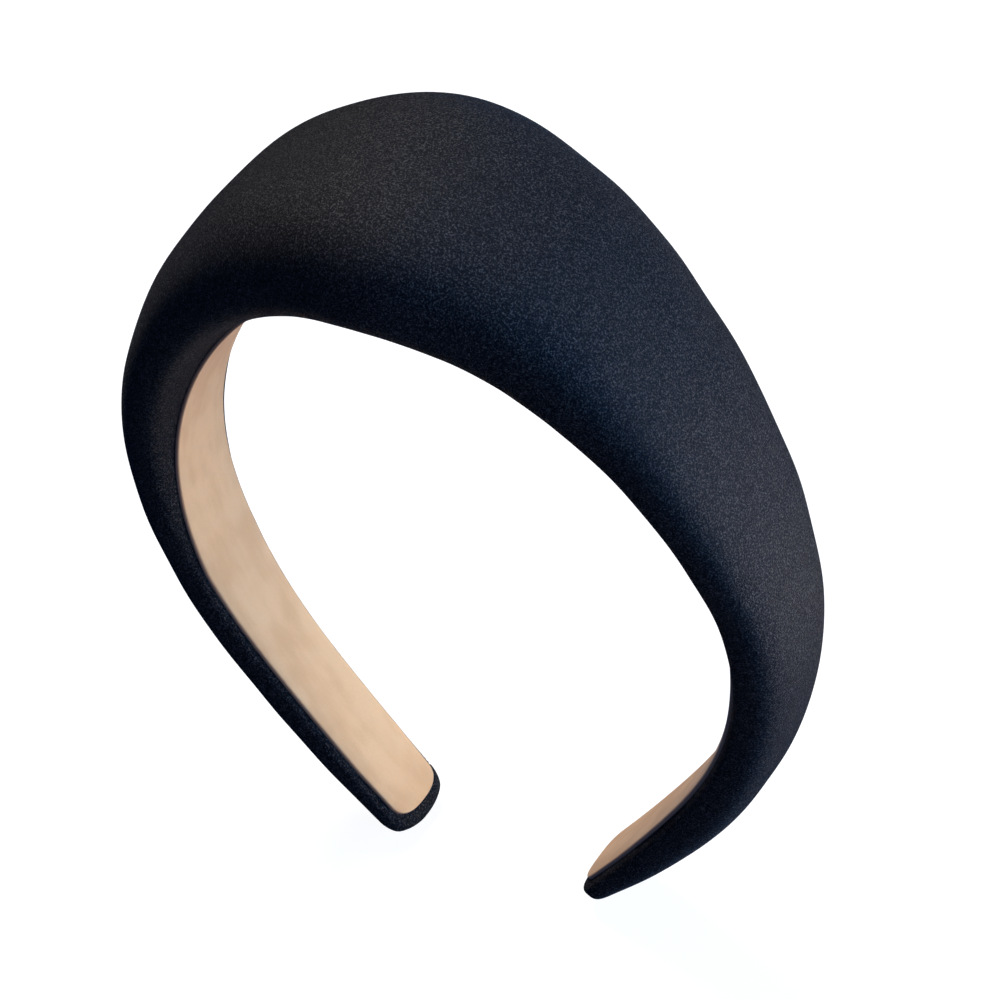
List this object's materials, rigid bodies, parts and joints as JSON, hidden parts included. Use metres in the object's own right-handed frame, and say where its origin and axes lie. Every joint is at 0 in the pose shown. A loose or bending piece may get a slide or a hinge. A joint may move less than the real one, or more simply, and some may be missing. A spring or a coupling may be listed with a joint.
{
  "type": "padded headband",
  "caption": "High padded hair band: a springy hoop with a moulded foam pad, covered in black satin and lined with suede, that flexes open at both arms.",
  "frame": {"origin": "middle of the band's inner face, under the middle of the crown", "axes": "+Z out of the top of the head, +X to one side of the head, Y from front to back across the band"},
  "size_m": [0.144, 0.052, 0.177],
  "materials": {
    "satin": "black matte satin with a fine sparkling grain",
    "suede": "beige napped suede cloth",
    "foam": "moulded open-cell sponge",
    "hoop": "moulded black plastic",
    "tape": "double-sided tape"
  },
  "bodies": {
    "crown": {"crown_satin_cover": "satin", "crown_foam_pad": "foam", "crown_pad_tape": "tape", "crown_plastic_hoop": "hoop", "crown_lining_tape": "tape", "crown_suede_lining": "suede"},
    "left_arm": {"left_arm_satin_cover": "satin", "left_arm_foam_pad": "foam", "left_arm_pad_tape": "tape", "left_arm_plastic_hoop": "hoop", "left_arm_lining_tape": "tape", "left_arm_suede_lining": "suede"},
    "right_arm": {"right_arm_satin_cover": "satin", "right_arm_foam_pad": "foam", "right_arm_pad_tape": "tape", "right_arm_plastic_hoop": "hoop", "right_arm_lining_tape": "tape", "right_arm_suede_lining": "suede"}
  },
  "joints": [
    {"name": "left_flex", "type": "hinge", "parent": "crown", "child": "left_arm", "pos_m": [-0.06007, 0, -0.0185], "axis": [0, 1, 0], "range_deg": [-6, 15], "stiffness_Nm_per_rad": 1.2},
    {"name": "right_flex", "type": "hinge", "parent": "crown", "child": "right_arm", "pos_m": [0.06007, 0, -0.0185], "axis": [0, -1, 0], "range_deg": [-6, 15], "stiffness_Nm_per_rad": 1.2}
  ]
}
